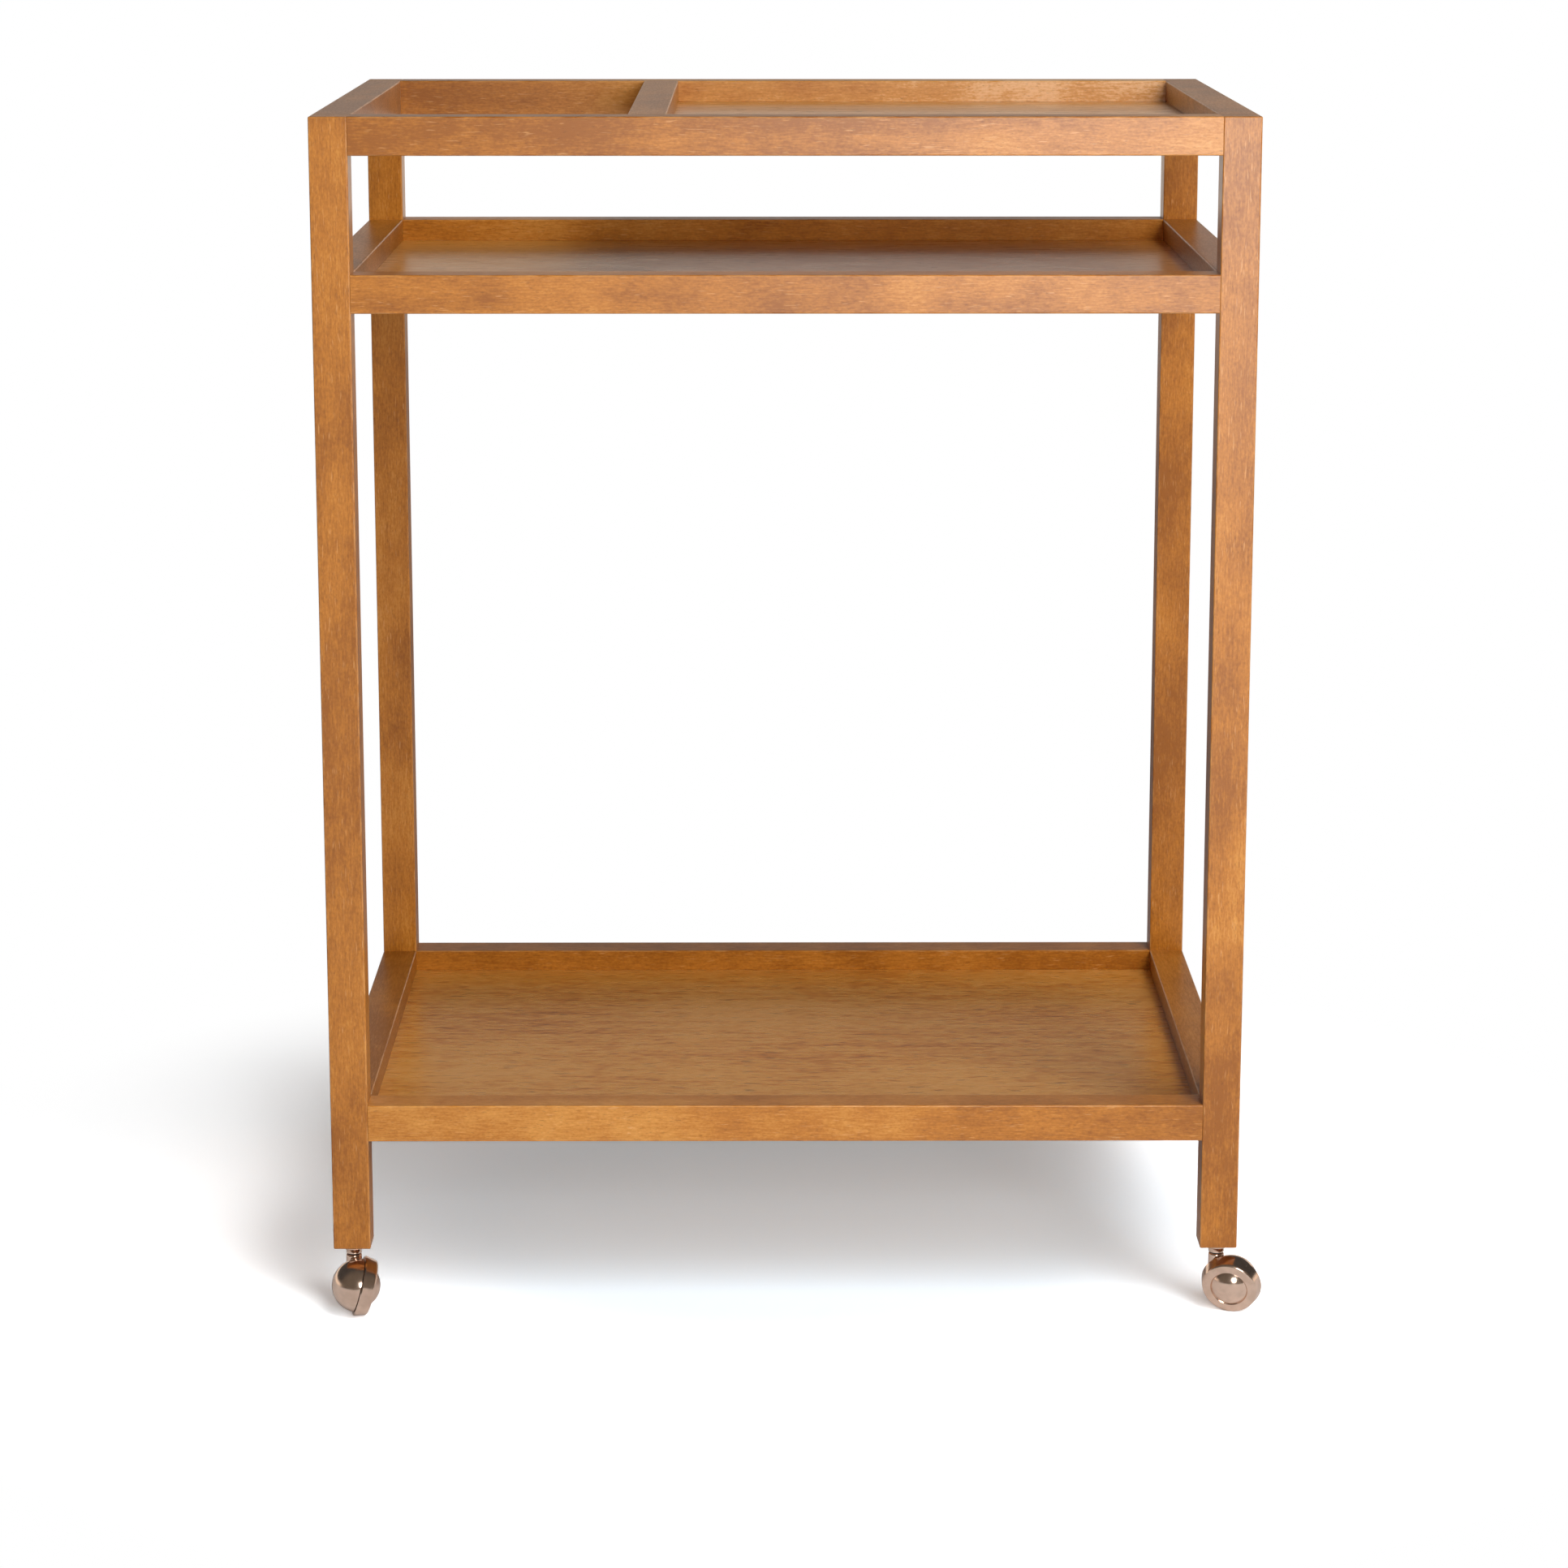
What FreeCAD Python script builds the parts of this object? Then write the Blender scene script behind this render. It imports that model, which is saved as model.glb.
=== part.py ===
"""Open hardwood serving trolley on four ball casters.

A frame of square stock: four full-height legs, three tiers of rails tenoned into them, a divider
that splits the top tier into an open bottle well and a tray, and thin panels held in grooves.
Millimetres. X runs to the right, Y to the rear, Z up. The origin is on the floor under the middle.
"""

import FreeCAD, Part
import math
import os

from FreeCAD import Placement, Rotation, Vector

# Frame sizes
frame_width = 660.0
frame_depth = 457.0
frame_height = 871.0
stock = 27.0
edge_ease = 1.0
middle_drop = 109.5
foot_length = 82.0
well_width = 193.0

# Shelf panels
panel_drop = 16.5
panel_thickness = 6.0
panel_clearance = 0.25
groove_depth = 6.0
groove_headroom = 0.1

# Joints between rails, legs and divider
tenon_thickness = 9.0
tenon_height = 15.0
tenon_mitre_gap = 0.5
stub_length = 10.0
glue_gap = 0.1

# Caster wheel, measured along its tilted axle from the seam with the hood
wheel_radius = 22.5
wheel_tilt = 14.5
wheel_width = 10.0
tread_round = 2.4
rim_thickness = 4.5
rim_bevel = 0.8
web_thickness = 4.0
hub_wall = 3.5
hub_back = 6.0
wheel_to_leg = 6.4

# Domed cap on the wheel's outer face
cap_radius = 13.3
cap_rise = 5.8
cap_wall = 1.2
cap_fit = 0.08
cap_seat_depth = 3.5
seam_bevel = 0.4

# Hood over the wheel's inner half
rim_stand = 2.8
hood_wall = 1.8
hood_gap = 0.45
hood_side_offset = 2.5
trail = 12.5
neck_wall = 1.75
neck_root = 5.0
neck_round = 1.4

# Axle
axle_radius = 3.0
axle_running = 0.06
axle_press = 0.02
axle_boss_wall = 3.0
axle_grip = 8.5
axle_head_lip = 2.4
axle_head_rise = 1.8
axle_float = 0.2

# Swivel stem and the socket in the leg
stem_radius = 4.0
stem_running = 0.06
stem_press = 0.02
stem_in_leg = 34.0
stem_in_neck = 9.0
stem_tip = 1.2
socket_wall = 0.7
socket_fit = 0.05
socket_top_room = 2.0
collar_flange = 2.0
collar_lip = 2.6
collar_height = 6.4
collar_hollow = 0.5
washer_thickness = 0.8
washer_width = 0.9
washer_gap = 0.1

# Grip ring that keeps the stem in its socket
ring_height = 2.4
ring_bite = 0.7
ring_stand = 0.5
ring_split = 1.4
ring_float = 0.1
ring_room = 0.3
ring_below_top = 4.0

# Swivel angles at rest: direction of each wheel's domed side, anticlockwise from the right
front_left_angle = 8.0
front_right_angle = 252.0
half_turn = 180.0

# Worked-out places in the frame
half_width = frame_width / 2.0
half_depth = frame_depth / 2.0
inner_half_width = half_width - stock
inner_half_depth = half_depth - stock
leg_x = half_width - stock / 2.0
leg_y = half_depth - stock / 2.0
divider_x = -inner_half_width + well_width + stock / 2.0

# Worked-out caster sizes, with heights above the floor
tilt = math.radians(wheel_tilt)
wheel_centre_z = wheel_radius * math.cos(tilt)
caster_height = 2.0 * wheel_centre_z + wheel_to_leg
web_front = wheel_width - cap_seat_depth
web_back = web_front - web_thickness
hub_radius = axle_radius + hub_wall
hood_radius = wheel_radius - rim_stand
neck_radius = stem_radius + neck_wall
collar_foot = caster_height - collar_height
neck_top = collar_foot - washer_thickness - 2.0 * washer_gap
stem_foot = neck_top - stem_in_neck
stem_top = caster_height + stem_in_leg
ring_top = stem_top - ring_below_top - ring_float
ring_foot = ring_top - ring_height
ring_inner = stem_radius - ring_bite
ring_outer = stem_radius + ring_stand
chamber_radius = ring_outer + ring_room
socket_radius = chamber_radius + socket_wall
socket_top = stem_top + socket_top_room

# Heights of the three tiers' upper faces
tier_tops = {
    "top": frame_height,
    "middle": frame_height - middle_drop,
    "lower": caster_height + foot_length + stock,
}

written_nodes = []


def write(name, shape):
    """Write one piece as parts/name.step."""
    shape.exportStep(os.path.join("parts", name + ".step"))
    written_nodes.append(name)


def slab(x_range, y_range, z_range):
    """Return a box between pairs of coordinates."""
    (x0, x1), (y0, y1), (z0, z1) = x_range, y_range, z_range
    return Part.makeBox(x1 - x0, y1 - y0, z1 - z0, Vector(x0, y0, z0))


def edges_along(shape, direction):
    """Return the straight edges of a box that run along a direction."""
    found = []
    for edge in shape.Edges:
        run = edge.Vertexes[1].Point.sub(edge.Vertexes[0].Point).normalize()
        if abs(run.dot(direction)) > 0.99:
            found.append(edge)
    return found


def prism(points, z0, z1):
    """Return an upright prism over a closed outline of (x, y) points."""
    corners = [Vector(x, y, z0) for x, y in points]
    outline = Part.makePolygon(corners + corners[:1])
    return Part.Face(outline).extrude(Vector(0, 0, z1 - z0))


def line(start, end):
    """Return a straight profile edge between two (radius, height) points."""
    return Part.LineSegment(Vector(start[0], 0, start[1]), Vector(end[0], 0, end[1])).toShape()


def arc(start, middle, end):
    """Return a round profile edge through three (radius, height) points."""
    a, b, c = (Vector(r, 0, h) for r, h in (start, middle, end))
    return Part.Arc(a, b, c).toShape()


def path(points):
    """Return the straight profile edges that join (radius, height) points in order."""
    return [line(a, b) for a, b in zip(points, points[1:])]


def turned(edges):
    """Return the solid that a closed profile sweeps round the Z axis."""
    wire = Part.Wire(Part.__sortEdges__(edges))
    return Part.Face(wire).revolve(Vector(0, 0, 0), Vector(0, 0, 1), 360)


def round_point(size, angle, radius=0.0, height=0.0):
    """Return a (radius, height) point on a round about a centre, angle in degrees up from the side."""
    turn = math.radians(angle)
    return (radius + size * math.cos(turn), height + size * math.sin(turn))


def dome(base_radius, rise, base_height):
    """Return the size and centre height of the ball that has a cap of this base and rise."""
    size = (base_radius ** 2 + rise ** 2) / (2.0 * rise)
    return size, base_height + rise - size


# Wooden frame


def side_placement(side):
    """Place a rail built along X, its outer face towards -Y, on one side of the frame."""
    turns = {"front": 0, "right": 90, "rear": 180, "left": 270}
    reach = leg_y if side in ("front", "rear") else leg_x
    turn = Rotation(Vector(0, 0, 1), turns[side])
    return Placement(turn.multVec(Vector(0, -reach, 0)), turn)


def rail_half_length(side):
    """Return half the clear length between the legs on one side."""
    return inner_half_width if side in ("front", "rear") else inner_half_depth


def mitred_tenons(half_length, top, growth=0.0):
    """Return both end tenons of a rail, mitred to meet the neighbour's inside the leg."""
    half = tenon_thickness / 2.0 + growth
    middle_z = top - stock / 2.0
    z0 = middle_z - tenon_height / 2.0 - growth
    z1 = middle_z + tenon_height / 2.0 + growth
    centre = half_length + stock / 2.0 - tenon_mitre_gap / 2.0 + growth
    short, long = centre - half, centre + half
    ends = []
    for sign in (-1, 1):
        outline = [(half_length, half), (short, half), (long, -half), (half_length, -half)]
        ends.append(prism([(sign * x, y) for x, y in outline], z0, z1))
    return ends


def bar(half_length, top):
    """Return a square bar along X with its long edges eased."""
    raw = slab((-half_length, half_length), (-stock / 2.0, stock / 2.0), (top - stock, top))
    return raw.makeFillet(edge_ease, edges_along(raw, Vector(1, 0, 0)))


def groove(start, end, top):
    """Return the cut that holds a panel's edge in the inner face of a bar along X."""
    floor = top - panel_drop - panel_thickness
    ceiling = top - panel_drop + groove_headroom
    return slab((start, end), (stock / 2.0 - groove_depth, stock / 2.0), (floor, ceiling))


def stub(growth=0.0):
    """Return the divider's stub tenons, which reach into the top front and rear rails."""
    half = tenon_thickness / 2.0 + growth
    reach = inner_half_depth + stub_length + growth
    middle_z = frame_height - stock / 2.0
    z_range = (middle_z - tenon_height / 2.0 - growth, middle_z + tenon_height / 2.0 + growth)
    return slab((divider_x - half, divider_x + half), (-reach, reach), z_range)


def groove_range(tier, side):
    """Return where a rail's panel groove starts and ends, or None on the open well's side."""
    half = rail_half_length(side)
    if tier != "top" or side == "right":
        return (-half, half)
    if side == "left":
        return None
    tray_start = divider_x + stock / 2.0 - groove_depth
    return (tray_start, half) if side == "front" else (-half, -tray_start)


def make_rail(tier, side):
    """Return one rail with its tenons, panel groove and any divider mortise."""
    top = tier_tops[tier]
    half = rail_half_length(side)
    rail = bar(half, top)
    span = groove_range(tier, side)
    if span:
        rail = rail.cut(groove(span[0], span[1], top))
    rail = rail.fuse(mitred_tenons(half, top)).removeSplitter()
    rail.Placement = side_placement(side)
    if tier == "top" and side in ("front", "rear"):
        rail = rail.cut(stub(glue_gap))
    return rail


def make_divider():
    """Return the bar between the bottle well and the tray."""
    divider = bar(inner_half_depth, frame_height)
    divider = divider.cut(groove(-inner_half_depth, inner_half_depth, frame_height))
    divider.Placement = Placement(Vector(divider_x, 0, 0), Rotation(Vector(0, 0, 1), -90))
    return divider.fuse(stub()).removeSplitter()


def make_leg(x_sign, y_sign):
    """Return one leg with the mortises of three tiers and the bore for a caster socket."""
    x, y = x_sign * leg_x, y_sign * leg_y
    reach = stock / 2.0
    raw = slab((x - reach, x + reach), (y - reach, y + reach), (caster_height, frame_height))
    leg = raw.makeFillet(edge_ease, raw.Edges)
    cuts = [Part.makeCylinder(socket_radius + socket_fit, socket_top - caster_height + socket_top_room,
                              Vector(x, y, caster_height))]
    for top in tier_tops.values():
        for side in ("front" if y_sign < 0 else "rear", "left" if x_sign < 0 else "right"):
            for tenon in mitred_tenons(rail_half_length(side), top, glue_gap):
                tenon.Placement = side_placement(side)
                cuts.append(tenon)
    return leg.cut(cuts)


def make_panel(left, tier, left_notched=True):
    """Return a shelf panel whose edges sit in the grooves and whose corners clear the legs."""
    z1 = tier_tops[tier] - panel_drop
    z_range = (z1 - panel_thickness, z1)
    tongue = groove_depth - panel_clearance
    far_left = left - tongue
    near_left = left + panel_clearance if left_notched else far_left
    deep_y = inner_half_depth + tongue
    clear_y = inner_half_depth - panel_clearance
    long_way = slab((far_left, inner_half_width + tongue), (-clear_y, clear_y), z_range)
    deep_way = slab((near_left, inner_half_width - panel_clearance), (-deep_y, deep_y), z_range)
    return long_way.fuse(deep_way).removeSplitter()


# Ball caster, built with its stem on the Z axis and its domed side towards +X


def wheel_placement(hand):
    """Place a piece turned about Z on the tilted axle, its +Z end towards the domed side."""
    centre = Vector(hood_side_offset, -hand * trail, wheel_centre_z)
    return Placement(centre, Rotation(Vector(0, 1, 0), 90.0 + wheel_tilt))


def make_wheel():
    """Return the wheel: coned tread that lies flat on the floor, bevelled back rim, web, hub and cap seat."""
    bore = axle_radius + axle_running
    seat_radius = cap_radius + cap_fit
    rim_inner = wheel_radius - rim_thickness
    round_height = wheel_width - tread_round
    round_radius = wheel_radius - (tread_round + round_height * math.sin(tilt)) / math.cos(tilt)
    bend = [round_point(tread_round, angle, round_radius, round_height)
            for angle in (wheel_tilt, (wheel_tilt + 90.0) / 2.0, 90.0)]
    edges = path([
        bend[0], (wheel_radius - rim_bevel * math.tan(tilt), rim_bevel), (wheel_radius - rim_bevel, 0.0),
        (rim_inner, 0.0), (rim_inner, web_back),
        (hub_radius, web_back), (hub_radius, -hub_back), (bore, -hub_back), (bore, web_front),
        (seat_radius, web_front), (seat_radius, wheel_width - seam_bevel),
        (seat_radius + seam_bevel, wheel_width), bend[2],
    ])
    return turned(edges + [arc(*bend)])


def make_cap():
    """Return the domed cap, a thin shell with a bevelled foot, pressed into the wheel's face."""
    dome_foot = cap_radius - seam_bevel
    outer, centre = dome(dome_foot, cap_rise, wheel_width)
    inner = outer - cap_wall
    skirt = cap_radius - cap_wall
    outer_edge = math.degrees(math.asin((wheel_width - centre) / outer))
    inner_edge = math.degrees(math.acos(skirt / inner))
    apex_out, apex_in = (0.0, centre + outer), (0.0, centre + inner)
    edges = [
        arc((dome_foot, wheel_width), round_point(outer, (outer_edge + 90.0) / 2.0, 0.0, centre), apex_out),
        line(apex_out, apex_in),
        arc(apex_in, round_point(inner, (inner_edge + 90.0) / 2.0, 0.0, centre),
            round_point(inner, inner_edge, 0.0, centre)),
    ]
    edges += path([round_point(inner, inner_edge, 0.0, centre), (skirt, web_front),
                   (cap_radius, web_front), (cap_radius, wheel_width - seam_bevel), (dome_foot, wheel_width)])
    return turned(edges)


def make_axle():
    """Return the headed axle, pressed into the hood's boss and turning in the wheel's hub."""
    tail = -hub_back - axle_float - axle_grip
    shoulder = web_front + axle_float
    crown = shoulder + axle_head_rise
    head_radius = axle_radius + axle_head_lip
    size, centre = dome(head_radius, axle_head_rise, shoulder)
    edge_angle = math.degrees(math.acos(head_radius / size))
    crest = round_point(size, (edge_angle + 90.0) / 2.0, 0.0, centre)
    edges = path([
        (0.0, crown), (0.0, tail), (axle_radius, tail), (axle_radius, shoulder), (head_radius, shoulder),
    ])
    return turned(edges + [arc((head_radius, shoulder), crest, (0.0, crown))])


def hood_shell():
    """Return the hood's half ball with the boss that grips the axle, on the Z axis."""
    cavity = hood_radius - hood_wall
    boss_radius = axle_radius + axle_boss_wall
    boss_face = -hub_back - axle_float
    bore = axle_radius + axle_press
    bore_end = boss_face - axle_grip - axle_float
    outer_edge = math.degrees(math.asin(-hood_gap / hood_radius))
    inner_edge = math.degrees(math.asin(-hood_gap / cavity))
    boss_edge = -math.degrees(math.acos(boss_radius / cavity))
    outer_rim = round_point(hood_radius, outer_edge)
    inner_rim = round_point(cavity, inner_edge)
    boss_root = round_point(cavity, boss_edge)
    edges = [
        arc((0.0, -hood_radius), round_point(hood_radius, (outer_edge - 90.0) / 2.0), outer_rim),
        line(outer_rim, inner_rim),
        arc(inner_rim, round_point(cavity, (inner_edge + boss_edge) / 2.0), boss_root),
    ]
    edges += path([boss_root, (boss_radius, boss_face), (bore, boss_face), (bore, bore_end),
                   (0.0, bore_end), (0.0, -hood_radius)])
    return turned(edges)


def hood_neck():
    """Return the hood's upright neck with a rounded top edge."""
    root = wheel_centre_z + neck_root
    flat = neck_radius - neck_round
    side_top = neck_top - neck_round
    edges = path([
        (flat, neck_top), (0.0, neck_top), (0.0, root), (neck_radius, root), (neck_radius, side_top),
    ])
    crest = round_point(neck_round, 45.0, flat, side_top)
    return turned(edges + [arc((neck_radius, side_top), crest, (flat, neck_top))])


def make_hood(hand):
    """Return the half-ball hood joined to the neck that takes the stem, open towards the wheel."""
    shell = hood_shell()
    shell.Placement = wheel_placement(hand)
    wheel_side = Part.makeCylinder(2.0 * wheel_radius, 2.0 * wheel_radius, Vector(0, 0, -hood_gap))
    wheel_side.Placement = wheel_placement(hand)
    bore = stem_radius + stem_press
    stem_bore = Part.makeCylinder(bore, caster_height - stem_foot, Vector(0, 0, stem_foot))
    return shell.fuse(hood_neck()).removeSplitter().cut([wheel_side, stem_bore])


def make_stem():
    """Return the swivel stem with a groove for the grip ring and a bevelled tip."""
    groove_top = ring_top + ring_float
    groove_foot = ring_foot - ring_float
    waist = ring_inner - ring_float
    return turned(path([
        (0.0, stem_top), (0.0, stem_foot), (stem_radius, stem_foot), (stem_radius, groove_foot),
        (waist, groove_foot), (waist, groove_top), (stem_radius, groove_top),
        (stem_radius, stem_top - stem_tip), (stem_radius - stem_tip, stem_top), (0.0, stem_top),
    ]))


def sleeve(inner, outer, foot, top):
    """Return a plain round sleeve on the Z axis."""
    return turned(path([(inner, foot), (outer, foot), (outer, top), (inner, top), (inner, foot)]))


def make_grip_ring():
    """Return the split spring ring in the stem's groove."""
    ring = sleeve(ring_inner, ring_outer, ring_foot, ring_top)
    half_split = ring_split / 2.0
    return ring.cut(slab((0.0, 2.0 * ring_outer), (-half_split, half_split), (ring_foot, ring_top)))


def make_washer():
    """Return the thin washer between the neck and the socket's collar."""
    foot = neck_top + washer_gap
    return sleeve(stem_radius + stem_running, stem_radius + washer_width, foot, foot + washer_thickness)


def make_socket():
    """Return the sleeve in the leg, with a ring chamber on top and a bell collar below the leg."""
    bore = stem_radius + stem_running
    chamber_foot = ring_foot - ring_room
    collar_radius = socket_radius + collar_flange
    lip = caster_height - collar_lip
    middle = ((neck_radius + collar_radius) / 2.0 - collar_hollow, (lip + collar_foot) / 2.0 + collar_hollow)
    edges = path([
        (neck_radius, collar_foot), (bore, collar_foot), (bore, chamber_foot), (chamber_radius, chamber_foot),
        (chamber_radius, socket_top), (socket_radius, socket_top), (socket_radius, caster_height),
        (collar_radius, caster_height), (collar_radius, lip),
    ])
    return turned(edges + [arc((collar_radius, lip), middle, (neck_radius, collar_foot))])


def write_caster(name, x_sign, y_sign, hand, angle):
    """Write the eight pieces of one caster, turned about its stem and set under its leg."""
    pieces = {
        "socket": make_socket(),
        "stem": make_stem(),
        "grip_ring": make_grip_ring(),
        "swivel_washer": make_washer(),
        "hood": make_hood(hand),
    }
    for part_name, shape in (("axle", make_axle()), ("wheel", make_wheel()), ("wheel_cap", make_cap())):
        shape.Placement = wheel_placement(hand)
        pieces[part_name] = shape
    stand = Placement(Vector(x_sign * leg_x, y_sign * leg_y, 0), Rotation(Vector(0, 0, 1), angle))
    for part_name, shape in pieces.items():
        shape.Placement = stand.multiply(shape.Placement)
        write(name + "_" + part_name, shape)


os.makedirs("parts", exist_ok=True)

corners = {
    "front_left": (-1, -1, 1, front_left_angle),
    "front_right": (1, -1, -1, front_right_angle),
    "rear_right": (1, 1, 1, front_left_angle + half_turn),
    "rear_left": (-1, 1, -1, front_right_angle - half_turn),
}

for corner, (x_sign, y_sign, hand, angle) in corners.items():
    write(corner + "_leg", make_leg(x_sign, y_sign))
    write_caster(corner, x_sign, y_sign, hand, angle)

for tier in tier_tops:
    for side in ("front", "rear", "left", "right"):
        write(tier + "_" + side + "_rail", make_rail(tier, side))

write("top_divider", make_divider())
write("top_tray_panel", make_panel(divider_x + stock / 2.0, "top", left_notched=False))
write("middle_panel", make_panel(-inner_half_width, "middle"))
write("lower_panel", make_panel(-inner_half_width, "lower"))

print(len(written_nodes), "pieces written")
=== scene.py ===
"""Looks of an open hardwood serving trolley: stained bars, veneered shelves and polished ball casters.

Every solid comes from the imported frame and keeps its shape. This script dresses each one with a
procedural finish, lays a pale floor, sets soft studio light and places the camera.
Metres. X runs to the right, Y to the rear, Z up.
"""

import logging
import math
from dataclasses import dataclass, field, replace
from enum import Enum
from typing import Any, Optional

import bpy
import numpy as np
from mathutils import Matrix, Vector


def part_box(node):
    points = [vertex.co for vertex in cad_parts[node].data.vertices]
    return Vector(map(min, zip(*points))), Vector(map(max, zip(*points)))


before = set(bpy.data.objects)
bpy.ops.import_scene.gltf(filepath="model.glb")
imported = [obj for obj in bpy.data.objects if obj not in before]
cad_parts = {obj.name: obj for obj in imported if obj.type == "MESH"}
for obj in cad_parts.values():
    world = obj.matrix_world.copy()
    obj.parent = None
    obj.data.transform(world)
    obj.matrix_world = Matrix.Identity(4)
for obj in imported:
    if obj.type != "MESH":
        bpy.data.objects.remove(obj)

log = logging.getLogger("trolley")

Colour = tuple[float, float, float]
Triple = tuple[float, float, float]
Pair = tuple[float, float]
Socket = bpy.types.NodeSocket

MILLIMETRE = 0.001
WHITE: Colour = (1.0, 1.0, 1.0)
BLACK: Colour = (0.0, 0.0, 0.0)
CORNERS = ("front_left", "front_right", "rear_left", "rear_right")

DISPLAY_WHITE = 255.0
TOE_END = 0.04045
TOE_SLOPE = 12.92
CURVE_OFFSET = 0.055
CURVE_POWER = 2.4


def linear(red: int, green: int, blue: int) -> Colour:
    """Turn a display colour of 0 to 255 into linear light.

    Args:
        red: Display red.
        green: Display green.
        blue: Display blue.

    Returns:
        The three channels in linear light: a straight toe for the darkest, then a power curve.
    """
    shares = np.array((red, green, blue)) / DISPLAY_WHITE
    toe = shares / TOE_SLOPE
    curve = ((shares + CURVE_OFFSET) / (1.0 + CURVE_OFFSET)) ** CURVE_POWER
    mixed = np.where(shares <= TOE_END, toe, curve)
    return (float(mixed[0]), float(mixed[1]), float(mixed[2]))


def opaque(colour: Colour) -> tuple[float, float, float, float]:
    """Return a colour with full cover."""
    return (*colour, 1.0)


class NodeSheet:
    """A node tree that is written one node at a time."""

    def __init__(self, tree: bpy.types.NodeTree) -> None:
        """Empty the tree and keep it.

        Args:
            tree: The tree to write.
        """
        self.tree = tree
        tree.nodes.clear()

    def add(self, kind: str, inputs: Optional[dict[Any, Any]] = None, **settings: Any) -> bpy.types.Node:
        """Add a node, set its options, then set or link its inputs.

        Args:
            kind: Blender's name for the node.
            inputs: Values or sockets by input name or number.
            **settings: Options of the node itself.

        Returns:
            The new node.
        """
        node = self.tree.nodes.new(kind)
        for option, value in settings.items():
            setattr(node, option, value)
        for key, value in (inputs or {}).items():
            if isinstance(value, bpy.types.NodeSocket):
                self.tree.links.new(value, node.inputs[key])
            else:
                node.inputs[key].default_value = value
        return node

    def number(self, operation: str, first: Any, second: Any) -> Socket:
        """Return the result of one sum on plain numbers.

        Args:
            operation: Blender's name for the sum.
            first: Number or socket.
            second: Number or socket.

        Returns:
            The result's socket.
        """
        return self.add("ShaderNodeMath", {0: first, 1: second}, operation=operation).outputs[0]

    def vector(self, operation: str, first: Any, second: Any) -> Socket:
        """Return the result of one sum on vectors.

        Args:
            operation: Blender's name for the sum.
            first: Vector or socket.
            second: Vector or socket.

        Returns:
            The result's socket.
        """
        return self.add("ShaderNodeVectorMath", {0: first, 1: second}, operation=operation).outputs[0]

    def noise(self, place: Socket, pace: Triple, detail: float) -> bpy.types.Node:
        """Return a noise node that is stretched by its pace.

        Args:
            place: Vector socket, in metres.
            pace: Features per metre along each axis.
            detail: Number of finer octaves.

        Returns:
            The noise node, with outputs 0 (a number, about a half on average) and 1 (three of them).
        """
        stretched = self.vector("MULTIPLY", place, pace)
        return self.add("ShaderNodeTexNoise", {"Vector": stretched, "Scale": 1.0, "Detail": detail})

    def ramp(self, value: Socket, span: Pair, start: float = 0.0, end: float = 1.0) -> Socket:
        """Return a value carried smoothly from its span to a start and an end, and held past both.

        Args:
            value: Socket of the value.
            span: Values that give the start and the end.
            start: Result at the span's first value.
            end: Result at the span's second value.

        Returns:
            The result's socket.
        """
        low, high = span
        wanted = {"Value": value, "From Min": low, "From Max": high, "To Min": start, "To Max": end}
        node = self.add("ShaderNodeMapRange", wanted, clamp=True, interpolation_type="SMOOTHSTEP")
        return node.outputs[0]

    def blend(self, share: Any, first: Any, second: Any) -> Socket:
        """Return a mix of two colours, whose inputs are numbers 6 and 7 of Blender's mix node.

        Args:
            share: Number or socket, 0 for the first colour.
            first: Colour or socket.
            second: Colour or socket.

        Returns:
            The mixed colour's socket.
        """
        return self.add("ShaderNodeMix", {0: share, 6: first, 7: second}, data_type="RGBA").outputs[2]

    def relief(self, height: Socket, depth: float) -> Socket:
        """Return the surface normal over a relief.

        Args:
            height: Socket of the height, as a share of the depth.
            depth: Depth of the relief in metres.

        Returns:
            The normal's socket.
        """
        wanted = {"Height": height, "Distance": depth, "Strength": 1.0}
        return self.add("ShaderNodeBump", wanted).outputs[0]

    def show(self, output: bpy.types.Node, shader: Socket) -> None:
        """Link a shader to the output node."""
        self.tree.links.new(shader, output.inputs[0])


def new_material(name: str) -> tuple[bpy.types.Material, NodeSheet, bpy.types.Node]:
    """Make a material that holds only its output node.

    Args:
        name: Name of the finish or of the piece it dresses.

    Returns:
        The material, its sheet and its output node.
    """
    material = bpy.data.materials.new(name)
    material.use_nodes = True
    sheet = NodeSheet(material.node_tree)
    return material, sheet, sheet.add("ShaderNodeOutputMaterial")


def dress(node: str, material: bpy.types.Material) -> None:
    """Give a solid of the frame one material.

    Args:
        node: Name of the solid.
        material: The finish that it takes.
    """
    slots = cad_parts[node].data.materials
    slots.clear()
    slots.append(material)
    log.info("%s: %s", node, material.name)


class Fibre(Enum):
    """Way that a piece's fibres run, as the turn that carries X onto them."""

    ALONG_X = (0.0, 0.0, 0.0)
    ALONG_Y = (0.0, 0.0, math.pi / 2.0)
    ALONG_Z = (0.0, -math.pi / 2.0, 0.0)

    def ordered(self, size: Triple) -> Triple:
        """Return sizes along X, Y and Z as sizes along and across the fibres."""
        x, y, z = size
        return {"ALONG_X": (x, y, z), "ALONG_Y": (y, x, z), "ALONG_Z": (z, y, x)}[self.name]


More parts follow.
